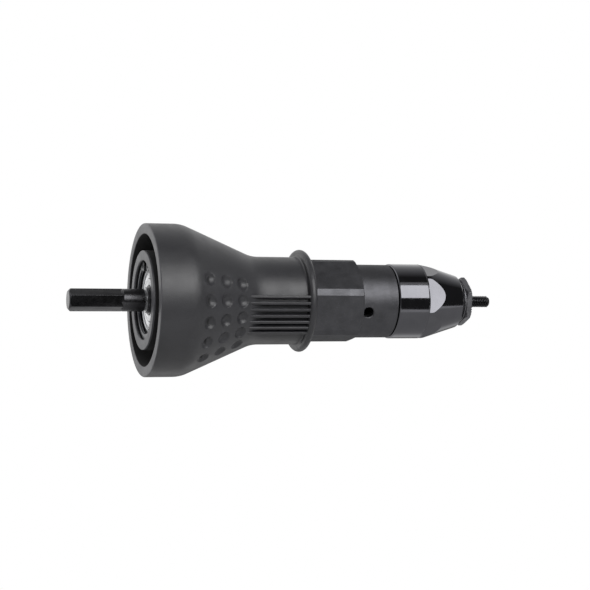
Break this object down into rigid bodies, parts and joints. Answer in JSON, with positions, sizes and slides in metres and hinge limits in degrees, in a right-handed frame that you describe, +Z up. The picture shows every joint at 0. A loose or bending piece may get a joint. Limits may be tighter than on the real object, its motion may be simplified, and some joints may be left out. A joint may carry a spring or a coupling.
{
  "type": "rivet nut tool",
  "caption": "Drill-driven rivet nut setting tool: hexagonal shank, hooded grip, spanner hexagon, tapered casing, screw-in nosepiece and a threaded mandrel that is pulled back.",
  "frame": {"origin": "centre of the hexagonal shank's rear end face, on the tool's axis", "axes": "+X along the axis from the shank to the mandrel's tip, +Z up"},
  "size_m": [0.2274, 0.0774, 0.0774],
  "materials": {
    "hood_nylon": "matte moulded nylon",
    "blasted_steel": "blasted and blackened, matte",
    "gloss_steel": "polished and blackened, gloss",
    "oxide_steel": "black oxide, satin",
    "bearing_steel": "ground, bright",
    "spring_steel": "phosphated spring steel",
    "cage_brass": "pressed",
    "seal_rubber": "matte",
    "ring_acetal": "turned acetal"
  },
  "bodies": {
    "housing": {"housing": "blasted_steel", "hood": "hood_nylon", "hub_circlip": "spring_steel", "bearing_outer_ring": "bearing_steel", "bearing_rear_shield": "bearing_steel", "bearing_front_shield": "bearing_steel", "thrust_washer_housing": "bearing_steel"},
    "drive": {"drive_shaft": "oxide_steel", "bearing_inner_ring": "bearing_steel", "thrust_washer_shaft": "bearing_steel", "screw_stop_ring": "spring_steel"},
    "bearing_cage": {"bearing_ball_cage": "cage_brass"},
    "thrust_cage": {"thrust_ball_cage": "cage_brass"},
    "puller_ring": {"puller_brake_ring": "ring_acetal"},
    "puller": {"puller": "oxide_steel", "mandrel": "oxide_steel", "mandrel_cap": "oxide_steel"},
    "casing_ring": {"casing_o_ring": "seal_rubber"},
    "casing": {"front_casing": "gloss_steel"},
    "nose_washer": {"nose_washer": "spring_steel"},
    "nosepiece": {"nosepiece": "oxide_steel"}
  },
  "joints": [
    {"name": "drive_spin", "type": "hinge", "parent": "drive", "child": "housing", "pos_m": [0.0409, 0, 0], "axis": [-1, 0, 0], "range_deg": [0, 1260]},
    {"name": "bearing_cage_roll", "type": "hinge", "parent": "housing", "child": "bearing_cage", "pos_m": [0.0409, 0, 0], "axis": [1, 0, 0], "range_deg": [0, 481.4]},
    {"name": "thrust_cage_roll", "type": "hinge", "parent": "housing", "child": "thrust_cage", "pos_m": [0.0595, 0, 0], "axis": [1, 0, 0], "range_deg": [0, 630.1]},
    {"name": "pull_stroke", "type": "slide", "parent": "housing", "child": "puller_ring", "axis": [-1, 0, 0], "range_m": [0, 0.007]},
    {"name": "puller_spin", "type": "hinge", "parent": "puller_ring", "child": "puller", "pos_m": [0.0855, 0, 0], "axis": [1, 0, 0], "continuous": true},
    {"name": "casing_travel", "type": "slide", "parent": "housing", "child": "casing_ring", "axis": [1, 0, 0], "range_m": [0, 0.012]},
    {"name": "casing_unscrew", "type": "hinge", "parent": "casing_ring", "child": "casing", "pos_m": [0.16925, 0, 0], "axis": [1, 0, 0], "range_deg": [0, 2880]},
    {"name": "nosepiece_travel", "type": "slide", "parent": "casing", "child": "nose_washer", "axis": [1, 0, 0], "range_m": [0, 0.0075]},
    {"name": "nosepiece_unscrew", "type": "hinge", "parent": "nose_washer", "child": "nosepiece", "pos_m": [0.20965, 0, 0], "axis": [1, 0, 0], "range_deg": [0, 1800]}
  ],
  "couplings": [
    {"joint": "pull_stroke", "follows": "drive_spin", "m_per_rad": 0.00031831},
    {"joint": "bearing_cage_roll", "follows": "drive_spin", "ratio": 0.382},
    {"joint": "thrust_cage_roll", "follows": "drive_spin", "ratio": 0.5},
    {"joint": "casing_travel", "follows": "casing_unscrew", "m_per_rad": 0.00023873},
    {"joint": "nosepiece_travel", "follows": "nosepiece_unscrew", "m_per_rad": 0.00023873}
  ]
}
